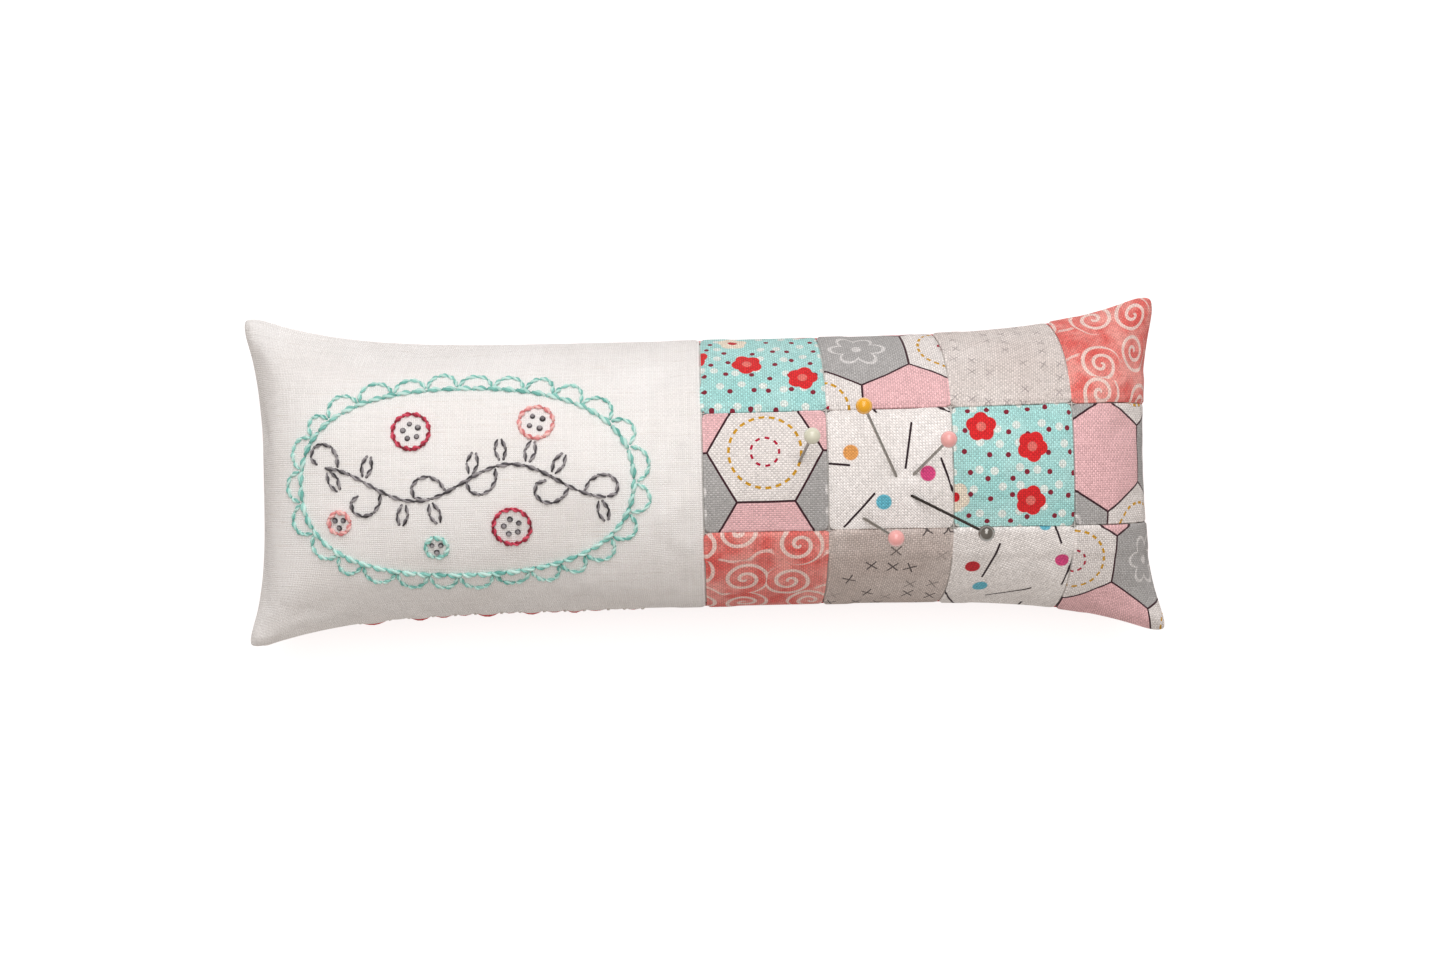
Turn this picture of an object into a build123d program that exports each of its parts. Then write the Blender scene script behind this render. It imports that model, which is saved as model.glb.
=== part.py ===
from build123d import *
import math
import os

# A stuffed patchwork pin cushion with five ball-headed pins in it.
# The front is a plain linen panel sewn to twelve small patches, the back is one piece of cotton.
# Front and back are seamed round their edge, stuffed, and the gap used for turning is closed by hand.
# Frame: +X along the cushion towards the patchwork, +Y across it, +Z up.
# The origin is the middle of the flat that the cushion rests on. Lengths are in millimetres.

# ---- Cloth, as cut and sewn before stuffing ----
patch_size = 25.4           # finished side of one patch
patch_columns = 4
patch_rows = 3
panel_length = 101.6        # finished length of the plain linen panel
cloth = 0.5                 # one layer of cotton or linen
hem_width = 6.35            # seam allowance folded under each piece
thread = 0.18               # sewing thread
thread_room = 0.05          # free space all round a thread in its seam

# ---- The stuffed form: how far stuffing draws the cloth in, and how far it bulges ----
corner_draw_length = 6.4    # from the flat half length to a corner
waist_draw_length = 11.0    # from the flat half length to the middle of an end
corner_draw_width = 2.9     # from the flat half width to a corner
waist_draw_width = 10.6     # from the flat half width to the middle of a long side
front_crown = 21.0          # rise of the front above its edge
back_crown = 20.0           # depth of the back below its edge, before it is flattened
resting_flat_depth = 1.5    # how much of the back is pressed flat where it rests
edge_lean = 77.0            # steepness of the cloth at the seam, in degrees
rim = 0.6                   # folded cloth edge above and below the seam
filling_room = 0.1          # between the hems and the filling
corner_radius = 2.6         # rounding of a corner in plan
end_pull = 5                # power: how near to an end the long sides run back out to the corners
side_pull = 3               # power: how near to a long side the ends run back out to the corners
end_turn = 10               # power: how suddenly the middle of the cushion turns down at its ends
end_flare = 6               # power: how near to an end the cross-section loses its roundness
crown_run = 3               # power: how far the full height carries on towards the ends
corner_fullness = 0.45      # how much of the height is kept on towards the corners, 0 to 1
rim_share = 0.3             # share of an inset that comes off the folded edge's height
edge_trim = 0.08            # trimmed off all round, so that the edge is one clean wall

# ---- Pins ----
pin_length = 38.0           # from the top of the head to the point
pin_radius = 0.3
head_radius = 1.7
point_length = 3.0
point_end_radius = 0.04
head_bore_depth = 2.4       # how far the wire goes into the head
pin_room = 0.06             # radial clearance of the way that a pin has made for itself
seat_gap = 0.3              # between a pushed-in head and the cloth
past_end = 0.5              # how much deeper than the pin its way goes

# Where each pin enters the cloth (x, y), the compass direction of its head from there,
# the plan distance to the head's centre, and the tilt of the wire above the horizontal, in degrees.
pins = {
    "yellow": (39.1, -1.3, 114.8, 15.4, 42.0),
    "ivory": (19.7, 2.0, 63.4, 5.6, 56.0),
    "pink_upper": (42.9, -1.1, 44.9, 9.5, 46.0),
    "pink_lower": (32.9, -10.2, -33.3, 7.0, 38.0),
    "pearl": (42.7, -5.8, -28.3, 16.1, 24.0),
}

# ---- Embroidery, in millimetres on the flat linen, measured from the middle of the oval ----
floss = 0.5                 # stranded thread as it lies in a stitch
floss_lift = 0.06           # between the cloth and a stitch
stitch = 3.0                # one back stitch
stitch_gap = 0.5            # between the ends of two stitches
oval_centre = (-48.6, -0.7)
oval_half_length = 34.7
oval_half_width = 20.6
oval_squareness = 2.2
scallops = 27
scallop_rise = 4.0
scallop_stand_off = 0.8     # between the oval line and a scallop's ends
scallop_draw_in = 0.07      # share of a scallop's width left free at each of its ends
stitch_taper = 0.35         # thickness of a stitch at the holes, as a share of its middle
stitch_shoulder = 0.3       # where the taper starts, as a share of the length from the middle
knot_radius = 0.42
knot_ring = 0.42            # knots stand in a ring of this share of their blossom's radius
knot_turn = 0.5             # radians from +X to the first knot
stem_wave = 3.6
stem_half_length = 29.0
stem_pitch = 38.7
curl_radius = 2.9
curl_length = 14.0
curl_start = 0.7            # from the stem to a curl's first stitch
curl_opening = 1.7          # radius where a curl sets off, in curl radii
curl_closing = 0.5          # radius where it ends, in curl radii
leaf_length = 4.6
leaf_width = 2.4
leaf_start = 0.8            # from the stem to a leaf
leaf_base_width = 0.7       # between a leaf's two edges where it starts and ends

# Curls that leave the stem: where along it, which way they set off, and which way they wind.
curls = [
    (-26.0, 75, 1),
    (-17.0, -80, -1),
    (-3.5, 105, 1),
    (6.5, -70, -1),
    (21.5, -105, -1),
    (24.5, 80, -1),
]
# Leaves on the stem: where along it, and which way they point.
leaves = [
    (-28.5, -60),
    (-20.5, 75),
    (-12.0, -100),
    (-7.0, -70),
    (1.5, 80),
    (8.0, 95),
    (13.0, 75),
    (18.0, 60),
    (27.5, -75),
]
# Blossoms: a ring of back stitches round a few knots. Colour, place, ring radius, knots.
blossoms = [
    ("crimson", -10.5, 10.8, 3.9, 5),
    ("crimson", 9.6, -9.4, 3.9, 5),
    ("rose", 15.0, 12.2, 3.6, 4),
    ("rose", -26.0, -7.6, 2.5, 3),
    ("mint", -6.0, -13.6, 2.5, 3),
]

# ---- Hand-sewn closing of the turning gap, along the seam of the long side at -Y, on the flat cloth ----
closing_start = -75.0
closing_end = -14.0
closing_pitch = 5.1
closing_length = 2.2
closing_thread = 0.3

# ---- Worked out from the sizes above ----
flat_half_length = (panel_length + patch_columns * patch_size) / 2
flat_half_width = patch_rows * patch_size / 2
panel_seam_u = panel_length / flat_half_length - 1
patch_u = patch_size / flat_half_length
patch_v = patch_size / flat_half_width
hem_u = hem_width / flat_half_length
hem_v = hem_width / flat_half_width
seam_height = back_crown + rim - resting_flat_depth
seam_gap = thread + 2 * thread_room
hem_depth = 2 * cloth
filling_depth = hem_depth + filling_room
filling_floor = cloth + filling_room
reach = 3 * (front_crown + back_crown)
lean = math.radians(edge_lean)

os.makedirs("parts", exist_ok=True)


def write(name, shapes):
    """Writes one named piece, which may be a group of like solids."""
    solids = [s for shape in shapes for s in shape.solids()]
    export_step(Compound(children=solids), "parts/" + name + ".step")


# ======================= The stuffed form =======================
# A point of the cloth is (u, v): u runs from -1 to 1 along the flat cushion, v from -1 to 1 across it.
# inset is the depth under the outer surface. side is 1 for the front and -1 for the back.


def swell(share):
    """Height of the crown, 1 in the middle and 0 at the seam, at this share of the way to the seam."""
    return max((math.cos(lean * share) - math.cos(lean)) / (1 - math.cos(lean)), 0.0)


def skin(u, v, inset=0.0, side=1):
    """The place of a point of the cloth on the stuffed cushion."""
    au, av = abs(u), abs(v)
    near_end, near_side = au**end_pull, av**side_pull
    waist_half_length = flat_half_length - waist_draw_length - inset
    corner_half_length = flat_half_length - corner_draw_length - inset
    waist_half_width = flat_half_width - waist_draw_width - inset
    corner_half_width = flat_half_width - corner_draw_width - inset
    middle_x = flat_half_length * au - (flat_half_length - waist_half_length) * au**end_turn
    x = (1 - near_side) * middle_x + near_side * corner_half_length * au
    half_width = waist_half_width + (corner_half_width - waist_half_width) * near_end
    rounded = math.sin(lean * av) / math.sin(lean)
    flare = au**end_flare
    y = half_width * ((1 - flare) * rounded + flare * av)
    crown = (front_crown if side > 0 else back_crown) - inset
    lengthwise = swell(au**crown_run) ** (1 - corner_fullness * av**4)
    crosswise = swell(av) ** (1 - corner_fullness * near_end)
    rise = crown * lengthwise * crosswise
    z = seam_height + side * (rim - rim_share * inset + rise)
    return Vector(math.copysign(x, u), math.copysign(y, v), z)


def plan(u, v, inset=0.0):
    """The same point seen from above."""
    place = skin(u, v, inset)
    return Vector(place.X, place.Y, 0)


def outward(u, v):
    """The direction square to the front at a point of the cloth."""
    step = 0.001
    along = skin(u + step, v) - skin(u - step, v)
    across = skin(u, v + step) - skin(u, v - step)
    return along.cross(across).normalized()


def clustered(count):
    """Values from -1 to 1, closer together near both ends, where the cloth curves most."""
    return [math.sin(math.pi / 2 * (2 * i / (count - 1) - 1)) for i in range(count)]


def sheet(inset, side):
    """The whole front or back as one smooth face."""
    rows = [[skin(u, v, inset, side) for v in clustered(13)] for u in clustered(21)]
    return Face.make_surface_from_array_of_points(rows, tol=0.01, min_deg=3, max_deg=3)


def line_in_plan(u0, v0, u1, v1, inset=0.0):
    """A line of the flat cloth, seen from above on the stuffed cushion."""
    points = []
    for i in range(9):
        points.append(plan(u0 + (u1 - u0) * i / 8, v0 + (v1 - v0) * i / 8, inset))
    return Edge.make_spline(points)


def field(u0, u1, v0, v1, inset=0.0):
    """A four-sided region of the cloth, seen from above."""
    sides = [
        line_in_plan(u0, v0, u1, v0, inset),
        line_in_plan(u1, v0, u1, v1, inset),
        line_in_plan(u1, v1, u0, v1, inset),
        line_in_plan(u0, v1, u0, v0, inset),
    ]
    return Face(Wire(sides))


def block(inset, low, high):
    """The plan of the cushion at this depth, with its corners rounded, from one height to another."""
    column = extrude(field(-1, 1, -1, 1, inset + edge_trim), amount=high - low, dir=(0, 0, 1))
    rounded = fillet(column.edges().filter_by(Axis.Z), corner_radius - inset)
    return Pos(0, 0, low) * rounded


def bowl(inset, side, floor=0.0):
    """Everything between the seam and the front or back at this depth, cut off flat at floor."""
    column = extrude(sheet(inset, side), amount=reach, dir=(0, 0, -side))
    if side > 0:
        return column & block(inset, seam_height, reach)
    return column & block(inset, floor, seam_height)


def ribbon(points, width):
    """A tall thin wall of this width along a line in plan, for a seam or the thread in it."""
    left, right = [], []
    for i, here in enumerate(points):
        before = points[max(i - 1, 0)]
        after = points[min(i + 1, len(points) - 1)]
        sideways = (after - before).cross(Vector(0, 0, 1)).normalized() * (width / 2)
        left.append(here + sideways)
        right.append(here - sideways)
    edges = [
        Edge.make_spline(left),
        Edge.make_line(left[-1], right[-1]),
        Edge.make_spline(right[::-1]),
        Edge.make_line(right[0], left[0]),
    ]
    return extrude(Face(Wire(edges)), amount=reach, dir=(0, 0, 1))


def column_seam(u):
    """Points of a seam right across the cushion, running on past both long sides."""
    points = [plan(u, v) for v in clustered(11)]
    beyond = Vector(0, 4 * rim, 0)
    return [points[0] - beyond] + points + [points[-1] + beyond]


def row_seam(v):
    """Points of a seam from the plain panel's seam to past the end of the cushion."""
    points = [plan(panel_seam_u + (1 - panel_seam_u) * i / 10, v) for i in range(11)]
    return points + [points[-1] + Vector(4 * rim, 0, 0)]


column_seams = [panel_seam_u + patch_u * i for i in range(patch_columns)]
row_seams = [-1 + patch_v * j for j in range(1, patch_rows)]
seam_lines = [column_seam(u) for u in column_seams] + [row_seam(v) for v in row_seams]

# ======================= Pins =======================
# A pin is a steel wire with a ground point, glued into the bore of a round head.


def pin_facts(name):
    """A pin's way: where it enters, the direction to its head, and its travel in and out."""
    x, y, compass, plan_reach, tilt = pins[name]
    flat = Vector(math.cos(math.radians(compass)), math.sin(math.radians(compass)), 0)
    rising = flat * math.cos(math.radians(tilt)) + Vector(0, 0, math.sin(math.radians(tilt)))
    u, v = cloth_point_at(x, y)
    entry = skin(u, v)
    out = plan_reach / math.cos(math.radians(tilt))
    seated = (head_radius + seat_gap) / rising.dot(outward(u, v))
    inside = pin_length - head_radius - out
    return {
        "entry": entry,
        "rising": rising,
        "out": out,
        "push": out - seated,
        "pull": inside + past_end,
        "inside": inside,
    }


def cloth_point_at(x, y):
    """The (u, v) of the front cloth seen at this place from above."""
    u, v = x / flat_half_length, y / flat_half_width
    for _ in range(30):
        miss = plan(u, v) - Vector(x, y, 0)
        u -= miss.X / flat_half_length
        v -= miss.Y / flat_half_width
    return u, v


def pin_frame(facts, distance):
    """A plane square to the pin, at this distance outside the cloth along it."""
    return Plane(origin=facts["entry"] + facts["rising"] * distance, z_dir=facts["rising"])


def pin_wire(facts):
    top = facts["out"] - head_radius + head_bore_depth
    straight = top + facts["inside"] - point_length
    start = pin_frame(facts, -facts["inside"] + point_length)
    wire = extrude(start * Circle(pin_radius), amount=straight)
    tip = Cone(point_end_radius, pin_radius, point_length, align=(Align.CENTER, Align.CENTER, Align.MIN))
    return wire + pin_frame(facts, -facts["inside"]).location * tip


def pin_head(facts):
    ball = pin_frame(facts, facts["out"]).location * Sphere(head_radius)
    bore_start = pin_frame(facts, facts["out"] - 2 * head_radius)
    bore = extrude(bore_start * Circle(pin_radius), amount=head_radius + head_bore_depth)
    return ball - bore


def pin_way(facts):
    """The hole that a pin has pressed through cloth and filling, as deep as the pin ever goes."""
    depth = facts["inside"] + facts["push"] + past_end
    start = pin_frame(facts, -depth)
    return extrude(start * Circle(pin_radius + pin_room), amount=depth + facts["out"])


pin_list = {name: pin_facts(name) for name in pins}
pin_ways = [pin_way(facts) for facts in pin_list.values()]
for name, facts in pin_list.items():
    write("pin_wire_" + name, [pin_wire(facts)])
    write("pin_head_" + name, [pin_head(facts)])

# ======================= Cover =======================


def edge_ring(width):
    """A square ring of this thickness, centred on the seam between front and back."""
    low, high = seam_height - width / 2, seam_height + width / 2
    return block(cloth - width / 2, low, high) - block(cloth + width / 2, low, high)


edge_groove = edge_ring(seam_gap)
write("edge_seam_thread", [edge_ring(thread)])

front_outer = bowl(0.0, 1)
front_under_cloth = bowl(cloth, 1)
front_hollow = bowl(hem_depth, 1)
front = front_outer - front_hollow - edge_groove
for seam in seam_lines:
    front = front - ribbon(seam, seam_gap)


def pocket(u0, u1, v0, v1):
    """The space inside a piece's folded hems, where the cloth is a single layer."""
    opening = field(u0 + hem_u, u1 - hem_u, v0 + hem_v, v1 - hem_v)
    return front_under_cloth & extrude(opening, amount=reach, dir=(0, 0, 1))


def piece_at(u, v):
    """The piece of the pieced front that holds this point of the cloth."""
    centre = skin(u, v, cloth / 2)
    return min(front.solids(), key=lambda s: s.distance_to(centre))


def hemmed(u0, u1, v0, v1):
    whole = piece_at((u0 + u1) / 2, (v0 + v1) / 2)
    return whole - pocket(u0, u1, v0, v1)


write("linen_panel", [hemmed(-1, panel_seam_u, -1, 1)])
for row in range(patch_rows):
    top_v = 1 - patch_v * row
    for column in range(patch_columns):
        left_u = panel_seam_u + patch_u * column
        patch = hemmed(left_u, left_u + patch_u, top_v - patch_v, top_v)
        for way in pin_ways:
            patch = patch - way
        write("patch_row%d_col%d" % (row + 1, column + 1), [patch])

back_hollow = bowl(hem_depth, -1, cloth)
back_under_cloth = bowl(cloth, -1, cloth)
back_opening = field(-1 + hem_u, 1 - hem_u, -1 + hem_v, 1 - hem_v)
back_pocket = back_under_cloth & extrude(back_opening, amount=reach, dir=(0, 0, 1))
back = bowl(0.0, -1) - back_hollow - back_pocket - edge_groove
write("back_panel", [back])

# ======================= Filling =======================
under_front = extrude(sheet(filling_depth, 1), amount=reach, dir=(0, 0, -1))
over_back = extrude(sheet(filling_depth, -1), amount=reach, dir=(0, 0, 1))
filling = block(filling_depth, filling_floor, reach) & under_front & over_back
for way in pin_ways:
    filling = filling - way
write("filling", [filling])

# ======================= Sewing thread =======================
# Each seam's thread lies between the folded edges it joins, half way down the two layers of the hem.
thread_layer = bowl(cloth - thread / 2, 1) - bowl(cloth + thread / 2, 1)
thread_layer = thread_layer & block(hem_depth, seam_height, reach)


def seam_thread(points):
    return thread_layer & ribbon(points, thread)


column_threads = [seam_thread(seam) for seam in seam_lines[:patch_columns]]
row_threads = []
for seam in seam_lines[patch_columns:]:
    crossing = seam_thread(seam)
    for other in seam_lines[:patch_columns]:
        crossing = crossing - ribbon(other, seam_gap)
    row_threads.append(crossing)
write("column_seam_threads", column_threads)
write("row_seam_threads", row_threads)

# ======================= Stitches on the cloth =======================
# A line of embroidery is a list of stitches, each from one point of the flat linen to another.


def bead_of_thread(length, width):
    """One stitch along X: thread, drawn with eight flat sides, that swells between its two holes."""
    slim = stitch_taper * width / 2
    sections = [
        (-length / 2, slim),
        (-length * stitch_shoulder, width / 2),
        (length * stitch_shoulder, width / 2),
        (length / 2, slim),
    ]
    rings = [Plane.YZ.offset(x) * RegularPolygon(radius, 8) for x, radius in sections]
    return loft(rings, ruled=True)


def on_linen(s, t):
    """The (u, v) of a point given in millimetres from the middle of the oval."""
    return (oval_centre[0] + s) / flat_half_length, (oval_centre[1] + t) / flat_half_width


def laid(stitches):
    """Solid stitches, lying on the stuffed cushion."""
    made = []
    for start, end in stitches:
        u0, v0 = on_linen(*start)
        u1, v1 = on_linen(*end)
        middle_u, middle_v = (u0 + u1) / 2, (v0 + v1) / 2
        square = outward(middle_u, middle_v)
        along = skin(u1, v1) - skin(u0, v0)
        seat = skin(middle_u, middle_v) + square * (floss / 2 + floss_lift)
        place = Plane(origin=seat, x_dir=along, z_dir=square).location
        made.append(place * bead_of_thread(along.length, floss))
    return made


def back_stitches(points):
    """Stitches of nearly equal length along a line of points."""
    run = [0.0]
    for a, b in zip(points, points[1:]):
        run.append(run[-1] + math.dist(a, b))

    def at(distance):
        i = next(i for i in range(1, len(run)) if run[i] >= distance - 1e-9)
        share = (distance - run[i - 1]) / (run[i] - run[i - 1])
        (ax, ay), (bx, by) = points[i - 1], points[i]
        return ax + (bx - ax) * share, ay + (by - ay) * share

    count = max(1, round(run[-1] / stitch))
    step = run[-1] / count
    return [(at(i * step + stitch_gap / 2), at((i + 1) * step - stitch_gap / 2)) for i in range(count)]


def knot(s, t):
    """A French knot: thread wound round the needle and pulled down on the cloth."""
    u, v = on_linen(s, t)
    centre = skin(u, v) + outward(u, v) * (knot_radius + floss_lift)
    return Pos(*centre) * Sphere(knot_radius)


def oval_point(angle, stand_off=0.0):
    """A point of the squarish oval, or outside it by stand_off."""
    c, s = math.cos(angle), math.sin(angle)
    power = 2 / oval_squareness
    x = (oval_half_length + stand_off) * math.copysign(abs(c) ** power, c)
    y = (oval_half_width + stand_off) * math.copysign(abs(s) ** power, s)
    return x, y


def even_angles(count):
    """Angles of points spaced evenly along the oval."""
    fine = 720
    ring = [oval_point(2 * math.pi * i / fine) for i in range(fine + 1)]
    run = [0.0]
    for a, b in zip(ring, ring[1:]):
        run.append(run[-1] + math.dist(a, b))
    angles = []
    for k in range(count + 1):
        target = min(run[-1] * k / count, run[-1])
        i = next((i for i in range(1, fine + 1) if run[i] >= target), fine)
        angles.append(2 * math.pi * (i - 1 + (target - run[i - 1]) / (run[i] - run[i - 1])) / fine)
    return angles


def bump(a, b, rise):
    """Points of a rounded bump from a to b that stands out to the right of the way there."""
    half_x, half_y = (b[0] - a[0]) / 2, (b[1] - a[1]) / 2
    half = math.hypot(half_x, half_y)
    points = []
    for i in range(13):
        along = -math.cos(math.pi * i / 12)
        out = math.sin(math.pi * i / 12) * rise / half
        x = a[0] + half_x * (1 + along) + half_y * out
        y = a[1] + half_y * (1 + along) - half_x * out
        points.append((x, y))
    return points


def stem_point(s):
    return s, stem_wave * math.sin(2 * math.pi * s / stem_pitch)


def curl(s, heading, turn):
    """A tendril that leaves the stem along heading and winds inwards. turn is 1 or -1."""
    angle = math.radians(heading)
    x, y = stem_point(s)
    x += curl_start * math.cos(angle)
    y += curl_start * math.sin(angle)
    points = [(x, y)]
    count = 28
    stride = curl_length / count
    for i in range(count):
        radius = curl_radius * (curl_opening + (curl_closing - curl_opening) * i / count)
        angle += turn * stride / radius
        x += stride * math.cos(angle)
        y += stride * math.sin(angle)
        points.append((x, y))
    return points


def leaf(s, heading):
    """The two edges of a pointed leaf that starts beside the stem."""
    c, d = math.cos(math.radians(heading)), math.sin(math.radians(heading))
    x, y = stem_point(s)
    edges = []
    for hand in (1, -1):
        points = []
        for i in range(9):
            along = leaf_start + leaf_length * i / 8
            belly = (leaf_width - leaf_base_width) * math.sin(math.pi * i / 8)
            across = hand * (leaf_base_width + belly) / 2
            points.append((x + along * c - across * d, y + along * d + across * c))
        edges.append(points)
    return edges


oval_line = back_stitches([oval_point(math.pi * i / 90) for i in range(181)])

scallop_line = []
cusps = even_angles(scallops)
for start, end in zip(cusps, cusps[1:]):
    draw_in = scallop_draw_in * (end - start)
    a = oval_point(start + draw_in, scallop_stand_off)
    b = oval_point(end - draw_in, scallop_stand_off)
    scallop_line += back_stitches(bump(a, b, scallop_rise - scallop_stand_off))

stem_line = back_stitches([stem_point(stem_half_length * i / 30) for i in range(-30, 31)])
curl_line = [made for place in curls for made in back_stitches(curl(*place))]
leaf_line = [made for place in leaves for edge in leaf(*place) for made in back_stitches(edge)]

ring_lines = {"crimson": [], "rose": [], "mint": []}
knots = []
for colour, s, t, radius, count in blossoms:
    ring = []
    for i in range(37):
        angle = math.pi * i / 18
        ring.append((s + radius * math.cos(angle), t + radius * math.sin(angle)))
    ring_lines[colour] += back_stitches(ring)
    for k in range(count):
        turn = 2 * math.pi * k / count + knot_turn
        out = knot_ring * radius
        knots.append(knot(s + out * math.cos(turn), t + out * math.sin(turn)))

write("oval_thread", laid(oval_line))
write("scallop_thread", laid(scallop_line))
write("stem_thread", laid(stem_line + curl_line))
write("leaf_thread", laid(leaf_line))
for colour, stitches in ring_lines.items():
    write(colour + "_blossom_thread", laid(stitches))
write("knot_thread", knots)

# ======================= Hand-sewn closing =======================
closing = []
for i in range(int((closing_end - closing_start) / closing_pitch) + 1):
    u = (closing_start + closing_pitch * i) / flat_half_length
    edge = plan(u, -1)
    out = (plan(u + 0.001, -1) - plan(u - 0.001, -1)).cross(Vector(0, 0, 1)).normalized()
    seat = edge + out * (closing_thread / 2 + floss_lift) + Vector(0, 0, seam_height)
    place = Plane(origin=seat, x_dir=(0, 0, 1), z_dir=out).location
    closing.append(place * bead_of_thread(closing_length, closing_thread))
write("closing_thread", closing)
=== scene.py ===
import math
import random

import bpy
from mathutils import Matrix, Vector, noise


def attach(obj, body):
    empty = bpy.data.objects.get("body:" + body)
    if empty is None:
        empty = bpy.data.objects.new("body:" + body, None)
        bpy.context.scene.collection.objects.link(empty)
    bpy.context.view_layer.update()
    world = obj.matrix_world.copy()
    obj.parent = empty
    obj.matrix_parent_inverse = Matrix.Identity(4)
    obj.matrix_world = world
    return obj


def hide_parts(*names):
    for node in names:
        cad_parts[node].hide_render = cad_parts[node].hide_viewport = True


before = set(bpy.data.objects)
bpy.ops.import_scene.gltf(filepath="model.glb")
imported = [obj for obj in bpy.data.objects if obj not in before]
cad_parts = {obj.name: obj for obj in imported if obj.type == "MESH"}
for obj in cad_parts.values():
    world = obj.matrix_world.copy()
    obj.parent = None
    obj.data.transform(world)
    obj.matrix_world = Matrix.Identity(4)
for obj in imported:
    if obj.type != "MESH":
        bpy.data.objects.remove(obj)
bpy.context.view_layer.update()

# ======================= The cover, cut, sewn and stuffed =======================
# The front is a linen panel seamed to twelve patches, each 25.4 mm square when finished; the
# back is one piece of cotton of the same size. They are seamed round their edge, turned right
# side out and packed firmly, which draws the edge in and bulges the cloth between its seams.
patch = 0.0254
half_length = 4 * patch
half_width = 1.5 * patch
cells_per_patch = 12
corner_draw_length = 0.0064
waist_draw_length = 0.011
corner_draw_width = 0.0029
waist_draw_width = 0.0106
front_crown = 0.021
back_crown = 0.020
edge_lean = math.radians(77)
rim = 0.0006
seam_height = 0.0191
corner_round = 0.0072
corner_fullness = 0.42
crown_fullness = 0.45
# How far each corner was poked out with a point when the cover was turned: (end, side): mm each way.
poked_out = {(1, 1): (0, 1.3), (1, -1): (2.2, 2.0), (-1, 1): (0.9, 1.3), (-1, -1): (1.6, 0.2)}
poke_sharpness = 8
lump_height = 0.00025
lump_spacing = 0.017


def swell(share):
    """Height of the crown at this share of the way to the seam, 1 in the middle."""
    return max((math.cos(edge_lean * share) - math.cos(edge_lean)) / (1 - math.cos(edge_lean)), 0)


def rounded_corner(s, t):
    """Draws the flat cloth's points near a corner in on to an arc."""
    arc_s, arc_t = half_length - corner_round, half_width - corner_round
    a, b = (abs(s) - arc_s) / corner_round, (abs(t) - arc_t) / corner_round
    if a <= 0 or b <= 0:
        return s, t
    along = arc_s + corner_round * a * math.sqrt(1 - corner_fullness * b * b)
    across = arc_t + corner_round * b * math.sqrt(1 - corner_fullness * a * a)
    return math.copysign(along, s), math.copysign(across, t)


def stuffed(s, t, side):
    """Where a point of the flat cloth lies on the stuffed cushion. side is 1 in front, -1 behind."""
    u, v = s / half_length, t / half_width
    au, av = min(abs(u), 1), min(abs(v), 1)
    near_end, near_side = au**5, av**3
    middle = half_length * au - waist_draw_length * au**10
    x = (1 - near_side) * middle + near_side * (half_length - corner_draw_length) * au
    draw = waist_draw_width + (corner_draw_width - waist_draw_width) * near_end
    bowed = math.sin(edge_lean * av) / math.sin(edge_lean)
    y = (half_width - draw) * ((1 - au**6) * bowed + au**6 * av)
    to_end, to_side = poked_out[(1 if u > 0 else -1, 1 if v > 0 else -1)]
    poked = (au * av) ** poke_sharpness
    x += to_end / 1000 * poked
    y += to_side / 1000 * poked
    crown = front_crown if side > 0 else back_crown
    lengthways = swell(au**3) ** (1 - crown_fullness * av**4)
    rise = crown * lengthways * swell(av) ** (1 - crown_fullness * near_end)
    z = max(seam_height + side * (rim + rise), 0)
    return Vector((math.copysign(x, u), math.copysign(y, v), z))


def only(*objects):
    """Selects these objects and no others; the first one is worked on."""
    bpy.ops.object.select_all(action="DESELECT")
    for o in objects:
        o.select_set(True)
    bpy.context.view_layer.objects.active = objects[0]


def editing(on):
    """Opens the object that is worked on for editing, or closes it."""
    bpy.ops.object.mode_set(mode="EDIT" if on else "OBJECT")


def opened(piece):
    """Opens the piece for editing, all of it selected."""
    only(piece)
    editing(True)
    bpy.ops.mesh.select_all(action="SELECT")


def linked(name, data):
    """A new object in the scene that holds this mesh, light or camera."""
    made = bpy.data.objects.new(name, data)
    bpy.context.collection.objects.link(made)
    return made


def copied(source):
    """A copy of an object, with a mesh of its own."""
    return linked(source.name, source.data.copy())


halves = []
for side in (1, -1):
    bpy.ops.mesh.primitive_grid_add(
        x_subdivisions=8 * cells_per_patch, y_subdivisions=3 * cells_per_patch, size=1
    )
    half = bpy.context.object
    flats = half.data.attributes.new("flat", "FLOAT_VECTOR", "POINT")
    for vertex, flat in zip(half.data.vertices, flats.data):
        s, t = vertex.co.x * 2 * half_length, vertex.co.y * 2 * half_width
        at_edge = max(abs(vertex.co.x), abs(vertex.co.y)) > 0.4999
        flat.vector = (s, t, 0)
        vertex.co = stuffed(*rounded_corner(s, t), side)
        if at_edge:
            vertex.co.z = seam_height
    if side < 0:
        opened(half)
        bpy.ops.mesh.flip_normals()
        editing(False)
    halves.append(half)

only(*halves)
bpy.ops.object.join()
bag = halves[0]
bag.name = "sewn_cover"
opened(bag)
bpy.ops.mesh.remove_doubles(threshold=1e-5)
editing(False)


def on_line(distance):
    """True where a length of flat cloth is a whole number of patches."""
    return abs(distance / patch - round(distance / patch)) < 1e-3


# The seams hold the cloth while the filling presses it outwards between them.
stitched_down = bag.vertex_groups.new(name="stitched_down")
for vertex, flat in zip(bag.data.vertices, bag.data.attributes["flat"].data):
    s, t, _ = flat.vector
    at_edge = abs(abs(s) - half_length) < 1e-5 or abs(abs(t) - half_width) < 1e-5
    pieced = vertex.co.z > seam_height and s > -1e-5
    if at_edge or pieced and (on_line(s) or on_line(t + half_width)):
        stitched_down.add([vertex.index], 1, "REPLACE")

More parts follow.
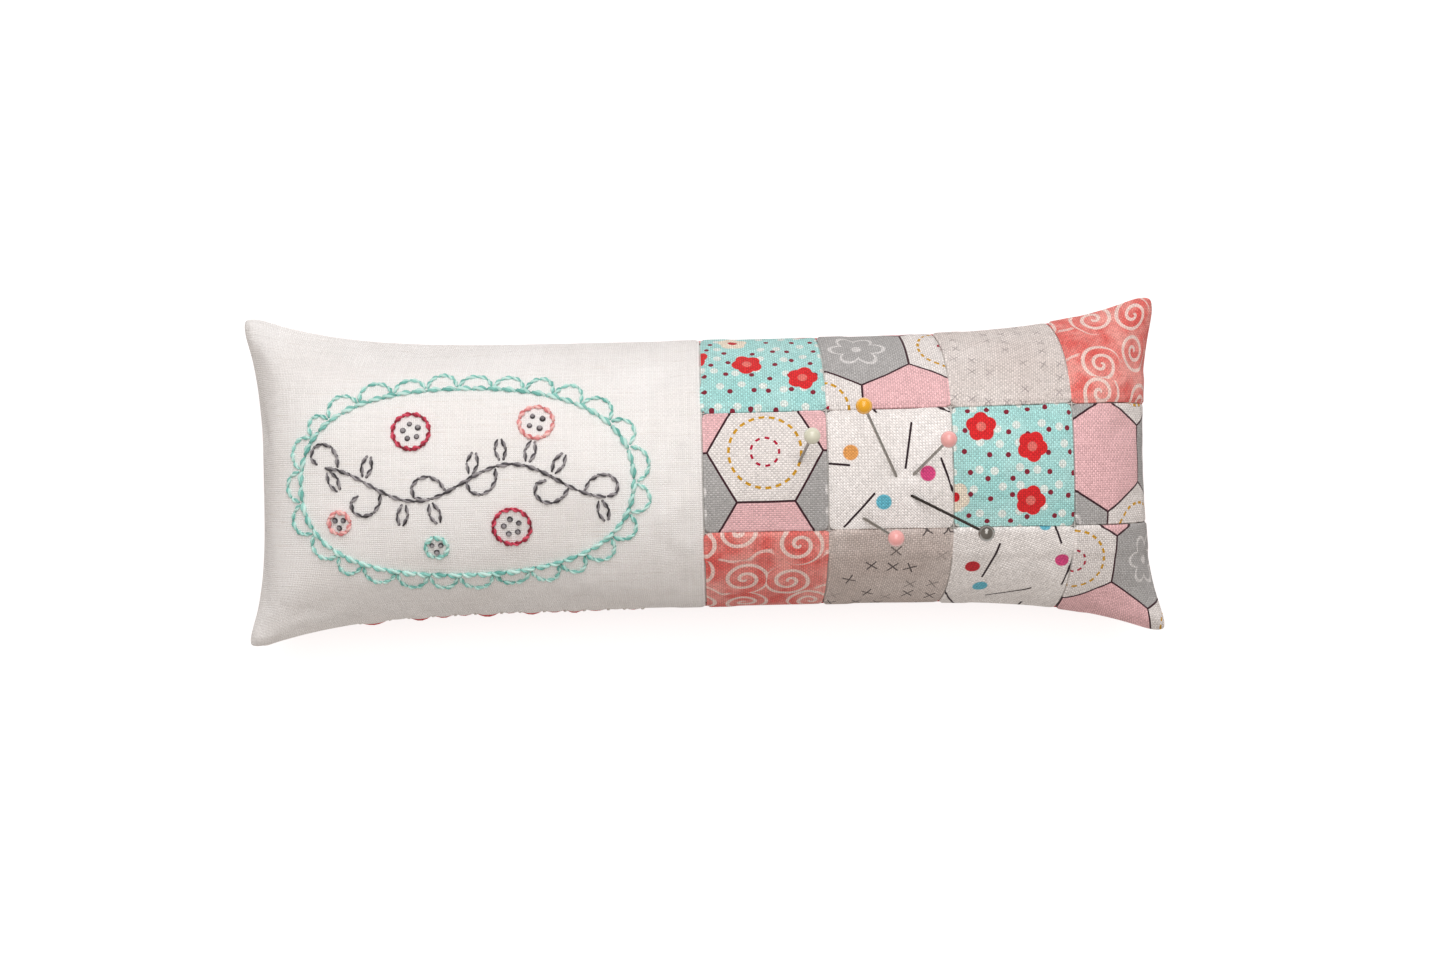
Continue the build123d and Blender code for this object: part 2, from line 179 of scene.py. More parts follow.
sewn = [vertex.co.copy() for vertex in bag.data.vertices]
stuffing_steps = 20
only(bag)
pressing = bag.modifiers.new("pressing", "CLOTH")
pressing.collision_settings.use_collision = False
cloth = pressing.settings
cloth.quality = 6
cloth.mass = 0.3
cloth.tension_stiffness = 15
cloth.compression_stiffness = 15
cloth.shear_stiffness = 5
cloth.bending_stiffness = 0.05
cloth.air_damping = 1
cloth.use_pressure = True
cloth.uniform_pressure_force = 7
cloth.shrink_min = -0.006
cloth.vertex_group_mass = "stitched_down"
cloth.pin_stiffness = 1
cloth.effector_weights.gravity = 0
for step in range(1, stuffing_steps + 1):
    bpy.context.scene.frame_set(step)
bpy.ops.object.modifier_apply(modifier="pressing")
bpy.context.scene.frame_set(1)

# The cloth keeps a part of that movement. The back, which nothing divides, only moves up and down.
most_stretch = 0.0018
held = {v.index for v in bag.data.vertices if any(g.weight > 0.5 for g in v.groups)}
outwards = [vertex.normal.copy() for vertex in bag.data.vertices]
for vertex, start, normal in zip(bag.data.vertices, sewn, outwards):
    step = vertex.co - start
    if start.z < seam_height:
        step.x = step.y = 0
    if step.length > most_stretch:
        step = step.normalized() * most_stretch
    lump = 0
    if vertex.index not in held:
        lump = lump_height * noise.noise(start / lump_spacing)
    vertex.co = start + step + normal * lump
    vertex.co.z = max(vertex.co.z, 0)
bag.vertex_groups.clear()

# ======================= The filling =======================
# Loose polyester fibre, packed into the cover through a gap in the edge seam until it is firm.
# It takes the inside shape of the cover, clear of the turned-under edges of the cloth.
filling_depth = 0.0012


class Value:
    """A value that changes over a surface, with ordinary arithmetic."""

    def __init__(self, finish, socket):
        self.finish = finish
        self.socket = socket

    def by(operation, swapped=False):
        """The method for this arithmetic. swapped is for a plain number on the left."""

        def worked(self, other):
            pair = (other, self) if swapped else (self, other)
            return self.finish.maths(operation, *pair)

        return worked

    __add__ = __radd__ = by("ADD")
    __sub__ = by("SUBTRACT")
    __rsub__ = by("SUBTRACT", swapped=True)
    __mul__ = __rmul__ = by("MULTIPLY")
    __truediv__ = by("DIVIDE")
    __lt__ = by("LESS_THAN")
    __gt__ = by("GREATER_THAN")

    def __abs__(self):
        return self.finish.maths("ABSOLUTE", self)


def written(*colour):
    """The light of a colour as it is written on paper: red, green and blue from 0 to 255."""
    light = (c / 255 / 12.92 if c < 10.3 else ((c / 255 + 0.055) / 1.055) ** 2.4 for c in colour)
    return *light, 1


class Finish:
    """One material: its nodes, and the shader that they feed. Colours are as on paper."""

    def __init__(self, name, roughness=0.9, **constants):
        self.material = bpy.data.materials.new(name)
        self.material.use_nodes = True
        self.tree = self.material.node_tree
        self.shader = self.tree.nodes["Principled BSDF"]
        self.shader.inputs["Roughness"].default_value = roughness
        for socket, value in constants.items():
            self.shader.inputs[socket.replace("_", " ")].default_value = value

    def node(self, kind, settings=None, **sockets):
        """A node of this type, with its settings, and values or links for its sockets."""
        made = self.tree.nodes.new("ShaderNode" + kind)
        for key, value in (settings or {}).items():
            if key == "stops":
                ramp = made.color_ramp.elements
                while len(ramp) < len(value):
                    ramp.new(1)
                for stop, (place, colour) in zip(ramp, value):
                    stop.position = place
                    stop.color = written(*colour)
            else:
                setattr(made, key, value)
        for key, value in sockets.items():
            name = int(key[1:]) if key[0] == "n" and key[1:].isdigit() else key
            self.join(value, made.inputs[name])
        return made

    def join(self, value, socket):
        """Links or sets a socket."""
        if isinstance(value, Value):
            value = value.socket
        if isinstance(value, bpy.types.NodeSocket):
            self.tree.links.new(value, socket)
        elif socket.type == "RGBA":
            socket.default_value = written(*value)
        else:
            socket.default_value = value

    def maths(self, operation, *values):
        """A Math node's result."""
        sockets = {"n%d" % i: value for i, value in enumerate(values)}
        return Value(self, self.node("Math", {"operation": operation}, **sockets).outputs[0])

    def attribute(self, name, output="Fac"):
        """A value, or a vector, that is kept on the piece's own points."""
        made = self.node("Attribute", {"attribute_name": name})
        return Value(self, made.outputs[output])

    def place(self):
        """Where a point lies, in metres."""
        return self.node("TexCoord").outputs["Object"]

    def split(self, vector):
        """The first two parts of a vector or colour."""
        parts = self.node("SeparateXYZ", Vector=vector).outputs
        return Value(self, parts[0]), Value(self, parts[1])

    def merge(self, x, y):
        """A flat vector."""
        return self.node("CombineXYZ", X=x, Y=y, Z=0.0).outputs[0]

    def fog(self, vector, scale, detail=2.0, rough=0.5):
        """Smooth noise from 0 to 1. scale is in waves per metre."""
        made = self.node("TexNoise", Vector=vector, Scale=scale, Detail=detail, Roughness=rough)
        return Value(self, made.outputs[0])

    def chance(self, vector):
        """An unconnected value from 0 to 1 for each whole-numbered place."""
        return Value(self, self.node("TexWhiteNoise", Vector=vector).outputs[0])

    def ramp(self, value, start, end):
        """0 below start, 1 above end, smooth between them."""
        made = self.node(
            "MapRange",
            {"interpolation_type": "SMOOTHSTEP"},
            **{"Value": value, "From Min": start, "From Max": end},
        )
        return Value(self, made.outputs[0])

    def blend(self, share, first, second):
        """A colour, first where share is 0 and second where it is 1."""
        made = self.node("Mix", {"data_type": "RGBA"}, n0=share, n6=first, n7=second)
        return made.outputs[2]

    def shaded(self, colour, light):
        """The colour, darker or lighter by a value."""
        made = self.node("VectorMath", {"operation": "SCALE"}, n0=colour, Scale=light)
        return made.outputs[0]

    def wear(self, colour, height, depth, rough=None):
        """Feeds the shader. depth is how far, in metres, a height of 1 stands out."""
        self.join(colour, self.shader.inputs["Base Color"])
        if rough is not None:
            self.join(rough, self.shader.inputs["Roughness"])
        bump = self.node("Bump", Height=height, Distance=depth)
        self.join(bump.outputs[0], self.shader.inputs["Normal"])


fibre = Finish("packed_fibre", roughness=0.95)
tangle = fibre.fog(fibre.place(), 900, 6, 0.7)
clump = fibre.fog(fibre.place(), 160, 3)
tone = fibre.blend(tangle * 0.6 + clump * 0.4, (214, 212, 208), (248, 247, 244))
fibre.wear(tone, tangle + clump, 0.0004)

filling = copied(bag)
filling.name = "stuffing"
inner = [v.co - v.normal * filling_depth for v in filling.data.vertices]
for vertex, co in zip(filling.data.vertices, inner):
    vertex.co = co
    vertex.co.z = max(co.z, filling_depth)
only(filling)
bpy.ops.object.shade_smooth()
filling.data.materials.append(fibre.material)
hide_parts("filling")
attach(filling, "cushion")

# ======================= The linen panel =======================
# Off-white, plain-woven linen with slubs, 101.6 mm by 76.2 mm when finished. Its edges are
# folded under along the seams; the allowances of the patchwork seam are pressed under it.
fold = 0.00035
fold_lean = 0.00015
turned_under = 0.0009
hairline = 0.00004
tucked_behind = 0.0003
cloth_thickness = 0.00025
allowance = 0.00635
linen_ridge = 0.00012
linen_gather = 0.0005
gather_reach = 0.006
end_dent_depth = 0.0006
end_dent_place = (-0.0975, 0.0105)
end_dent_size = (0.003, 0.004)
# Where the stitches of the hand-sewn closing are, in mm along the edge, and how much the cloth
# puckers between each two of them.
closing_places = [-76, -69.5, -65.4, -60, -55.2, -50.8, -45, -41, -35.6, -31, -26.8, -21.5, -18, -14]
gathers = [0.9, 0.3, 1.0, 0.75, 0.55, 1.0, 0.5, 0.9, 0.6, 0.8, 0.5, 0.3, 0.45]


def smooth(value):
    """0 to 1 with a soft start and end."""
    value = min(max(value, 0), 1)
    return value * value * (3 - 2 * value)


def pick(piece, kind, wanted):
    """Opens the piece for editing with only its wanted faces or edges selected."""
    opened(piece)
    bpy.ops.mesh.select_mode(type=kind)
    bpy.ops.mesh.select_all(action="DESELECT")
    editing(False)
    for item in piece.data.polygons if kind == "FACE" else piece.data.edges:
        item.select = wanted(item)
    editing(True)


def both_ways(mesh):
    """The two ends of each edge, in either order."""
    for edge in mesh.edges:
        a, b = edge.vertices
        yield a, b
        yield b, a


def cut_out(name, low, high, front):
    """The part of the cover between two corners of its flat cloth, with its edges folded under."""
    piece = copied(bag)
    piece.name = name
    mesh = piece.data
    flats = mesh.attributes["flat"].data

    def within(polygon):
        corners = [flats[i].vector for i in polygon.vertices]
        s, t, _ = sum(corners, Vector()) / len(corners)
        inside = low[0] < s < high[0] and low[1] < t < high[1]
        return inside and (polygon.center.z > seam_height) == front

    wanted = [within(polygon) for polygon in mesh.polygons]
    pick(piece, "FACE", lambda polygon: not wanted[polygon.index])
    bpy.ops.mesh.delete(type="FACE")
    bpy.ops.mesh.select_all(action="SELECT")
    bpy.ops.mesh.inset(thickness=fold, use_boundary=True, use_even_offset=True)
    bpy.ops.mesh.select_mode(type="EDGE")
    bpy.ops.mesh.select_all(action="DESELECT")
    bpy.ops.mesh.select_non_manifold(
        use_wire=False, use_multi_face=False, use_non_contiguous=False, use_verts=False
    )
    editing(False)

    border = {v.index for v in mesh.vertices if v.select}
    flats = mesh.attributes["flat"].data
    inwards = {}
    for rim_point, inner_point in both_ways(mesh):
        if rim_point in border and inner_point not in border:
            way = mesh.vertices[inner_point].co - mesh.vertices[rim_point].co
            inwards[rim_point] = way.normalized()
            flat = flats[inner_point].vector
            flat.x = min(max(flat.x, low[0] + fold), high[0] - fold)
            flat.y = min(max(flat.y, low[1] + fold), high[1] - fold)
            flats[inner_point].vector = flat
    outwards = {i: mesh.vertices[i].normal.copy() for i in border}
    editing(True)
    bpy.ops.mesh.extrude_edges_move()
    editing(False)
    for rim_point, folded in both_ways(mesh):
        if rim_point in border and mesh.vertices[folded].select and folded not in border:
            under = mesh.vertices[rim_point].co - outwards[rim_point] * turned_under
            mesh.vertices[folded].co = under + inwards[rim_point] * fold_lean
    for i in border:
        if front:
            mesh.vertices[i].co += inwards[i] * hairline
        else:
            mesh.vertices[i].co += (inwards[i] - outwards[i]) * tucked_behind
    return piece


def made_up(piece, levels, lift, angle, shift, cloth):
    """Finishes a piece that is cut out: rounds it between its points, raises each point by
    lift(flat s, flat t, place), keeps for the print where it lay on the bolt, and thickens it."""
    only(piece)
    rounding = piece.modifiers.new("rounding", "SUBSURF")
    rounding.levels = rounding.render_levels = levels
    rounding.boundary_smooth = "PRESERVE_CORNERS"
    bpy.ops.object.modifier_apply(modifier="rounding")
    mesh = piece.data
    normals = [v.normal.copy() for v in mesh.vertices]
    c, d = math.cos(math.radians(angle)), math.sin(math.radians(angle))
    bolt = mesh.attributes.new("bolt", "FLOAT_VECTOR", "POINT").data
    flats = mesh.attributes["flat"].data
    for vertex, normal, flat, kept in zip(mesh.vertices, normals, flats, bolt):
        s, t, _ = flat.vector
        vertex.co += normal * lift(s, t, vertex.co)
        vertex.co.z = max(vertex.co.z, 0)
        kept.vector = (c * s - d * t + shift[0], d * s + c * t + shift[1], 0)
    wall = piece.modifiers.new("thickness", "SOLIDIFY")
    wall.thickness = cloth_thickness
    wall.offset = -1
    bpy.ops.object.modifier_apply(modifier="thickness")
    bpy.ops.object.shade_smooth()
    mesh.materials.append(cloth)


def pucker(s):
    """How far the edge stands out between two stitches of the hand-sewn closing, 0 to 1."""
    for start, end, gather in zip(closing_places, closing_places[1:], gathers):
        if start <= 1000 * s < end:
            return gather * math.sin(math.pi * (1000 * s - start) / (end - start))
    return 0


def gathered(s, t):
    """How much the closing puckers the cloth here: pucker, fading away from the edge."""
    return pucker(s) * smooth(1 - (t + half_width) / gather_reach)


def linen_lift(s, t, co):
    """The ridge over the pressed allowances, the puckers, and a small dent in the end."""
    pressed = smooth((s + allowance + 0.001) / 0.002) * smooth(-s / 0.0009)
    away = math.hypot(*((a - b) / c for a, b, c in zip((s, t), end_dent_place, end_dent_size)))
    dent = end_dent_depth * math.exp(-(away**2))
    return linen_ridge * pressed + linen_gather * gathered(s, t) - dent


def weave(finish, bolt, pitch, slub):
    """Plain weave: (its height from 0 to 1, a value for each thread, a value for each crossing)."""
    sway = finish.fog(bolt, 160, 1) * 0.8
    x, y = (way / pitch + sway for way in finish.split(bolt))
    across, along = finish.maths("FLOOR", x), finish.maths("FLOOR", y)
    over = finish.maths("COSINE", (y - 0.5 + across) * math.pi) * 0.5 + 0.5
    under = finish.maths("COSINE", (x - 0.5 + along) * math.pi) * -0.5 + 0.5
    warp = abs(finish.maths("SINE", x * math.pi)) * over
    weft = abs(finish.maths("SINE", y * math.pi)) * under
    height = finish.maths("MAXIMUM", warp, weft)
    warp_tone = finish.chance(finish.merge(across, 7.0))
    weft_tone = finish.chance(finish.merge(3.0, along))
    top = warp > weft
    tone = warp_tone * top + weft_tone * (1 - top)
    streak = finish.fog(finish.merge(x * 0.06, y * 0.9), 1.0, 2)
    crossing = finish.chance(finish.merge(across, along))
    return height + slub * streak, tone * 0.5 + streak * 0.5, crossing * 0.5 + top * 0.5


def woven(name, pitch, slub, printed, gap_ink_and_shade, depth=0.00013, fleck=0.42):
    """A woven cloth. printed(finish, bolt) gives its colour before the weave shades it."""
    finish = Finish(name, 0.88, Sheen_Weight=0.12, Sheen_Roughness=0.5, Specular_IOR_Level=0.25)
    bolt = finish.attribute("bolt", "Vector")
    height, tone, crossing = weave(finish, bolt, pitch, slub)
    # Painted light and shade: each thread is lighter on its crown and darker in the hollows between
    # threads, by gap_ink_and_shade; on the prints the darker hollows also stand for ink that lies only
    # on the thread crowns.
    hollow = finish.ramp(height, 0.15, 0.75)
    light = (gap_ink_and_shade + (1.06 - gap_ink_and_shade) * hollow) * (0.94 + 0.12 * tone)
    light = light * (1 - fleck / 2 + fleck * crossing)
    finish.wear(finish.shaded(printed(finish, bolt), light), height, depth)
    return finish.material


def linen_colour(finish, bolt):
    """Off-white with slow changes of tone, and greyer slubs along the weft."""
    slow = finish.ramp(finish.fog(bolt, 55, 3), 0.3, 0.7)
    x, y = finish.split(bolt)
    slub = finish.fog(finish.merge(x * 120, y * 1500), 1.0, 2)
    tint = finish.blend(slow, (246, 244, 243), (250, 249, 249))
    return finish.blend(finish.ramp(slub, 0.60, 0.75) * 0.4, tint, (232, 226, 220))


linen = cut_out("linen_panel_cloth", (-half_length, -half_width), (0, half_width), True)
linen_cloth = woven("natural_linen", 0.00044, 0.35, linen_colour, 0.92, depth=0.00014, fleck=0.08)
made_up(linen, 2, linen_lift, 0, (0.3, 0.2), linen_cloth)
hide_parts("linen_panel")
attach(linen, "cushion")

# ======================= The twelve patches =======================
# Squares of printed quilting cotton, cut 38 mm square and seamed 6.35 mm in from their edges.
# The allowances are pressed away from the middle row, so the outer rows stand a little higher.
ridge = 0.00032
side_ridge = 0.00014
ridge_slope = 0.0008
dimple_depth = 0.0004
dimple_width = 0.0013
pin_holes = [(39.1, -1.3), (19.7, 2.0), (42.9, -1.1), (32.9, -10.2), (42.7, -5.8)]


def patch_lift(row, s, t, co):
    """The ridges over the pressed allowances, and a dimple where a pin goes in."""
    lift = 0
    if row != 1:
        into = abs(t) - patch / 2
        lift += ridge * smooth(into / ridge_slope) * smooth((allowance + 0.002 - into) / 0.003)
    to_right = s / patch - math.floor(s / patch + 1e-6)
    into = (to_right if row != 1 else 1 - to_right) * patch
    if s > 0:
        lift += side_ridge * smooth(into / ridge_slope) * smooth((allowance + 0.001 - into) / 0.002)
    for x, y in pin_holes:
        away = math.hypot(co.x - x / 1000, co.y - y / 1000)
        lift -= dimple_depth * math.exp(-((away / dimple_width) ** 2))
    return lift


def ground(finish, bolt, dark, light, scale=90):
    """The mottled colour of a printed ground."""
    return finish.blend(finish.ramp(finish.fog(bolt, scale, 4, 0.6), 0.3, 0.7), dark, light)


def scattered(finish, bolt, spacing, seed, jitter):
    """One mark in each square: the place, in squares, and the values of the nearest mark."""
    x, y = finish.split(bolt)
    place = finish.merge(x / spacing + seed, y / spacing + seed * 1.7)
    flat = {"voronoi_dimensions": "2D"}
    return place, finish.node("TexVoronoi", flat, Vector=place, Scale=1.0, Randomness=jitter).outputs


def dots(finish, bolt, spacing, radius, seed, jitter):
    """1 inside round dots, and the chance value of the nearest one."""
    _, near = scattered(finish, bolt, spacing, seed, jitter)
    edge = radius / spacing
    inside = 1 - finish.ramp(Value(finish, near["Distance"]), edge * 0.9, edge * 1.1)
    return inside, finish.split(near["Color"])[0]


def marks(finish, bolt, spacing, seed, jitter):
    """How far the nearest mark is, along and across, in metres, and its two chance values."""
    place, near = scattered(finish, bolt, spacing, seed, jitter)
    offset = finish.node("VectorMath", {"operation": "SUBTRACT"}, n0=place, n1=near["Position"])
    dx, dy = finish.split(offset.outputs[0])
    return dx * spacing, dy * spacing, *finish.split(near["Color"])


def polar(finish, dx, dy):
    """The length of an offset, and its angle."""
    return finish.maths("SQRT", dx * dx + dy * dy), finish.maths("ARCTAN2", dy, dx)


def aqua_print(finish, bolt):
    """Aqua with small dark and cream dots, and round red and cream blossoms."""
    colour = ground(finish, bolt, (168, 226, 224), (186, 234, 232))
    cream_dot, _ = dots(finish, bolt, 0.0044, radius=0.00085, seed=3.1, jitter=0.4)
    plum_dot, _ = dots(finish, bolt, 0.0044, radius=0.00055, seed=8.6, jitter=0.4)
    dx, dy, kind, _ = marks(finish, bolt, spacing=0.0128, seed=5.3, jitter=0.6)
    away, turn = polar(finish, dx, dy)
    lobes = abs(finish.maths("COSINE", turn * 2.5 + kind * 6))
    disc = 1 - finish.ramp(away - 0.0006 * lobes, 0.0025, 0.0027)
    centre = 1 - finish.ramp(away, 0.0009, 0.0011)
    colour = finish.blend(cream_dot, colour, (232, 244, 240))
    colour = finish.blend(plum_dot, colour, (140, 40, 58))
    red = kind > 0.45
    disc_colour = finish.blend(red, (244, 232, 214), (226, 42, 46))
    centre_colour = finish.blend(red, (206, 34, 44), (236, 120, 112))
    colour = finish.blend(disc, colour, disc_colour)
    return finish.blend(centre, colour, centre_colour)


def hexagon_print(finish, bolt):
    """Grey, pink and white hexagons with dark outlines, and a dashed ring or rosette in some."""
    across_flats = 0.0205
    x, y = (way / across_flats for way in finish.split(bolt))
    rise = math.sqrt(3)

    def lattice(shift):
        """The offset from the nearest centre of one of the two square lattices, and its column."""
        column = finish.maths("FLOOR", x + 0.5 - 0.5 * shift)
        row = finish.maths("FLOOR", y / rise + 0.5 - 0.5 * shift)
        return x - column - 0.5 * shift, y - (row + 0.5 * shift) * rise, column * 2 + shift

    (ax, ay, _), (bx, by, _) = one, other = lattice(0), lattice(1)
    first = (ax * ax + ay * ay) < (bx * bx + by * by)
    dx, dy, column = (a * first + b * (1 - first) for a, b in zip(one, other))
    px, py = abs(dx), abs(dy)
    reach = finish.maths("MAXIMUM", px, px * 0.5 + py * (rise / 2))
    outline = finish.ramp(reach, 0.487, 0.491)
    away, turn = polar(finish, dx, dy)
    kind = finish.maths("FRACT", column / 3 + 0.1)
    grey, pink = kind < 0.2, abs(kind - 0.43) < 0.1
    colour = finish.blend(grey, (240, 235, 233), (182, 181, 181))
    colour = finish.blend(pink, colour, (243, 196, 200))
    petals = 0.17 + 0.11 * abs(finish.maths("COSINE", turn * 3))
    rosette = 1 - finish.ramp(abs(away - petals), 0.012, 0.028)
    heart = 1 - finish.ramp(away, 0.04, 0.06)
    rosette = finish.maths("MAXIMUM", rosette, heart) * grey
    colour = finish.blend(rosette * 0.85, colour, (232, 230, 230))
    white = (1 - grey) * (1 - pink)
    ring = (abs(away - 0.36) < 0.014) * (finish.maths("SINE", turn * 22) > -0.25)
    colour = finish.blend(ring * white, colour, (214, 160, 44))
    small = (abs(away - 0.14) < 0.012) * (finish.maths("SINE", turn * 9) > 0)
    colour = finish.blend(small * white, colour, (186, 30, 62))
    return finish.blend(outline, colour, (62, 30, 40))


def turned(finish, dx, dy, angle):
    """An offset, seen from a mark that is turned by this angle."""
    c, d = finish.maths("COSINE", angle), finish.maths("SINE", angle)
    return dx * c + dy * d, dy * c - dx * d


def stroke(finish, dx, dy, length, width):
    """1 on a straight stroke of this length and width along dx."""
    line = 1 - finish.ramp(abs(dy), width * 0.35, width * 0.65)
    return line * (abs(dx) < length / 2)


def cross(finish, dx, dy, length, width):
    """1 on two strokes that cross."""
    bars = stroke(finish, dx, dy, length, width), stroke(finish, dy, dx, length, width)
    return finish.maths("MAXIMUM", *bars)


def pale_taupe_print(finish, bolt):
    """Pale taupe with rows of small faint crosses."""
    colour = ground(finish, bolt, (222, 212, 208), (233, 226, 223), 60)
    dx, dy, first, second = marks(finish, bolt, spacing=0.0036, seed=2.4, jitter=0.25)
    dx, dy = turned(finish, dx, dy, first * 0.5 + 0.6)
    seen = cross(finish, dx, dy, length=0.0021, width=0.00026) * (second > 0.45) * 0.55
    return finish.blend(seen, colour, (150, 140, 142))


def taupe_cross_print(finish, bolt):
    """Taupe with scattered dark crosses, some faint."""
    colour = ground(finish, bolt, (204, 190, 184), (219, 208, 203), 60)
    dx, dy, first, second = marks(finish, bolt, spacing=0.0049, seed=6.1, jitter=0.7)
    dx, dy = turned(finish, dx, dy, first * 1.1 + 0.3)
    dark = finish.ramp(second, 0.25, 0.75) * 0.85
    seen = cross(finish, dx, dy, length=0.0031, width=0.00033) * dark
    return finish.blend(seen, colour, (44, 34, 38))


def coral_scroll_print(finish, bolt):
    """Coral, mottled, with pale spiral scrolls that wind either way."""
    blotch = finish.ramp(finish.fog(bolt, 130, 3, 0.6), 0.32, 0.68)
    colour = finish.blend(blotch, (232, 100, 94), (249, 168, 160))
    dx, dy, first, second = marks(finish, bolt, spacing=0.0112, seed=4.2, jitter=0.5)
    winding, radius, line_spacing = 0.0025, 0.0050, 0.0105
    hand = (second > 0.5) * 2 - 1
    away, turn = polar(finish, dx, dy * hand)
    wound = finish.maths("FRACT", away / winding - (turn / (2 * math.pi) + first) + 8.0)
    line = 1 - finish.ramp(abs(wound - 0.5), 0.12, 0.22)
    scroll = line * (1 - finish.ramp(away, radius, radius + 0.0004))
    x, y = finish.split(bolt)
    wave = finish.maths("SINE", x * 420 + finish.fog(bolt, 90, 1) * 6)
    row = finish.maths("FRACT", y / line_spacing + wave * 0.13)
    tail = 1 - finish.ramp(abs(row - 0.5), 0.03, 0.055)
    beyond = finish.ramp(away, radius + 0.0002, radius + 0.0010)
    drawn = finish.maths("MAXIMUM", scroll, tail * 0.8 * beyond)
    return finish.blend(drawn * 0.82, colour, (252, 232, 224))


def confetti_print(finish, bolt):
    """White with thin dark strokes and small coloured dots."""
    colour = ground(finish, bolt, (246, 242, 240), (250, 247, 246), 60)
    dx, dy, first, second = marks(finish, bolt, spacing=0.0126, seed=1.7, jitter=0.55)
    dx, dy = turned(finish, dx, dy, first * 2 * math.pi)
    line = stroke(finish, dx, dy, length=0.0098, width=0.00046) * (second > 0.1)
    colour = finish.blend(line, colour, (44, 26, 34))
    spot, kind = dots(finish, bolt, 0.0124, radius=0.00158, seed=9.3, jitter=0.9)
    hues = [
        (0.0, (226, 78, 138)),
        (0.30, (104, 190, 212)),
        (0.50, (238, 168, 96)),
        (0.68, (204, 40, 52)),
        (0.84, (240, 190, 202)),
    ]
    hue = finish.node("ValToRGB", {"stops": hues}, Fac=kind)
    hue.color_ramp.interpolation = "CONSTANT"
    return finish.blend(spot, colour, hue.outputs[0])


quilting_pitch = 0.00046
quilting_slub = 0.2
cottons = {}
# gap_ink_and_shade: how dark the hollows between threads are painted, partly shade and partly unprinted
# thread.
for printed, gap_ink_and_shade in (
    (aqua_print, 0.68),
    (hexagon_print, 0.70),
    (pale_taupe_print, 0.74),
    (coral_scroll_print, 0.74),
    (confetti_print, 0.82),
    (taupe_cross_print, 0.70),
):
    name = printed.__name__
    cottons[name] = woven(name, quilting_pitch, quilting_slub, printed, gap_ink_and_shade)
# Which cotton each patch is cut from, how far it was turned, and where on the bolt it lay.
quilt = [
    ("aqua_print", 0, (0.12, 0.21)),
    ("hexagon_print", 0, (0.0285, 0.0055)),
    ("pale_taupe_print", 8, (0.31, 0.13)),
    ("coral_scroll_print", 0, (0.22, 0.37)),
    ("hexagon_print", 90, (0.0246, 0.0228)),
    ("confetti_print", 315, (0.29, 0.36)),
    ("aqua_print", 0, (0.42, 0.33)),
    ("hexagon_print", 0, (0.04925, 0.01575)),
    ("coral_scroll_print", 0, (0.44, 0.16)),
    ("taupe_cross_print", 5, (0.24, 0.48)),
    ("confetti_print", 65, (0.47, 0.15)),
    ("hexagon_print", 180, (0.066, -0.0033)),
]
for number, (cotton, angle, shift) in enumerate(quilt):
    row, column = divmod(number, 4)
    low = (column * patch, half_width - (row + 1) * patch)
    high = (low[0] + patch, low[1] + patch)
    name = "patch_row%d_col%d" % (row + 1, column + 1)
    square = cut_out(name + "_cloth", low, high, True)
    made_up(square, 2, lambda s, t, co: patch_lift(row, s, t, co), angle, shift, cottons[cotton])
    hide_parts(name)
    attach(square, "cushion")

# ======================= The back =======================
# One piece of plain coral cotton, as large as the whole front. Along the turning gap it shows
# between the stitches, and it is pressed flat where the cushion rests.
back_gather = 0.0010


def coral_plain(finish, bolt):
    """Coral, a little mottled, with pale specks."""
    speck, _ = dots(finish, bolt, 0.0030, radius=0.00028, seed=2.2, jitter=0.3)
    colour = ground(finish, bolt, (206, 66, 70), (220, 86, 86), 70)
    return finish.blend(speck * 0.35, colour, (250, 214, 206))


back = cut_out("back_panel_cloth", (-half_length, -half_width), (half_length, half_width), False)
back_cloth = woven("coral_backing", quilting_pitch, quilting_slub, coral_plain, 0.78)
made_up(back, 1, lambda s, t, co: back_gather * gathered(s, t), 0, (0.4, 0.4), back_cloth)
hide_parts("back_panel")
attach(back, "cushion")
bpy.data.objects.remove(bag)

# ======================= Seam thread =======================
# White cotton sewing thread, in the bottom of each seam between the folded edges it joins.
ply = Finish("white_sewing_thread", roughness=0.7)
twist_pitch = 0.0004
x, y = ply.split(ply.place())
lay = ply.maths("SINE", (x + y) * (2 * math.pi / twist_pitch)) * 0.5 + 0.5
fuzz = ply.fog(ply.place(), 4000, 2)
# Painted light and shade: the thread is lighter on the crowns of its twist and darker in its grooves, by
# the same wave as its bump.
ply.wear(ply.blend(lay * 0.6 + fuzz * 0.4, (206, 202, 196), (244, 242, 238)), lay, 0.00003)
for name in ("column_seam_threads", "row_seam_threads", "edge_seam_thread"):
    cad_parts[name].material_slots[0].material = ply.material

# ======================= Embroidery =======================
# Back stitches of stranded cotton on the linen, worked before the cover was sewn. Each one is
# two twisted strands that come up through the cloth, lie on it and go down again.
oval_centre = Vector((-0.0486, -0.0007))
strand_radius = 0.00021
strand_offset = 0.00017
strand_turns = 0.9
strand_flatness = 0.7
end_width = 0.45
arch = 0.00036
draw_down = 0.00012


def keep(piece, name, value):
    """Keeps value(place) on each point of a piece, for its material."""
    kept = piece.data.attributes.new(name, "FLOAT", "POINT").data
    for item, vertex in zip(kept, piece.data.vertices):
        item.value = value(vertex.co)


